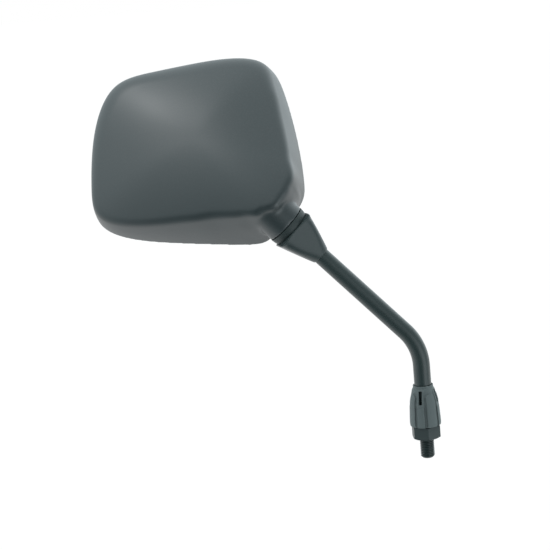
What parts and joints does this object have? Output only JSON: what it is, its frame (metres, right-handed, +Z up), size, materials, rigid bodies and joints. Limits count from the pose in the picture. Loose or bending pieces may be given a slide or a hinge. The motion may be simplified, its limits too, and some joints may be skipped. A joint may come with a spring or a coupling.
{
  "type": "motorcycle mirror",
  "caption": "Handlebar mirror with a domed black shell, convex glass, ball joint under a rubber boot, bent rod and a threaded stud with lock nut and cover.",
  "frame": {"origin": "on the stem's centre line where the free thread starts, 0.1 mm below the lock nut's lower face", "axes": "+Z up along the stem's threaded leg, +X to the right seen from the front of the motorcycle, +Y from the shell's back towards the rider, whom the glass faces"},
  "size_m": [0.2316, 0.1152, 0.2832],
  "materials": {
    "shell_plastic": "satin black moulded plastic with a fine grain",
    "plate_plastic": "plain black moulded plastic",
    "mirror_glass": "polished convex mirror",
    "foam_pad": "closed cell foam",
    "black_steel": "satin black coated steel",
    "bare_steel": "ground steel, lightly greased",
    "coated_casting": "black coated die casting",
    "die_cast": "as cast",
    "nylon": "natural nylon",
    "boot_rubber": "smooth dark moulded rubber",
    "cover_rubber": "matt grey black moulded rubber"
  },
  "bodies": {
    "stem": {"stem": "black_steel", "pivot_ball": "bare_steel"},
    "seat_below": {"lower_seat": "nylon"},
    "seat_above": {"upper_seat": "nylon"},
    "head": {"rear_housing": "shell_plastic", "rim_bezel": "shell_plastic", "mirror_glass": "mirror_glass", "glass_pad": "foam_pad", "backing_plate": "plate_plastic", "plate_screws": "black_steel", "pivot_bracket": "coated_casting", "bracket_screws": "black_steel", "pressure_cup": "bare_steel", "lower_spring": "bare_steel", "upper_spring": "bare_steel", "spring_plug": "die_cast", "retaining_ring": "bare_steel"},
    "boot": {"ball_boot": "boot_rubber"},
    "cover": {"nut_cover": "cover_rubber"},
    "nut": {"lock_nut": "black_steel"}
  },
  "joints": [
    {"name": "head_swivel", "type": "hinge", "parent": "stem", "child": "seat_below", "pos_m": [-0.08607, 0, 0.16123], "axis": [-0.6756, 0, 0.7373], "range_deg": [-30, 30]},
    {"name": "head_side_tilt", "type": "hinge", "parent": "seat_below", "child": "seat_above", "pos_m": [-0.08607, 0, 0.16123], "axis": [0, 1, 0], "range_deg": [-7, 7]},
    {"name": "head_up_tilt", "type": "hinge", "parent": "seat_above", "child": "head", "pos_m": [-0.08607, 0, 0.16123], "axis": [0.7373, 0, 0.6756], "range_deg": [-7, 7]},
    {"name": "boot_slide", "type": "slide", "parent": "stem", "child": "boot", "axis": [0.6756, 0, -0.7373], "range_m": [0, 0.04]},
    {"name": "cover_slide", "type": "slide", "parent": "stem", "child": "cover", "axis": [0, 0, 1], "range_m": [0, 0.012]},
    {"name": "nut_spin", "type": "hinge", "parent": "stem", "child": "nut", "pos_m": [0, 0, 0.005], "axis": [0, 0, 1], "continuous": true}
  ]
}
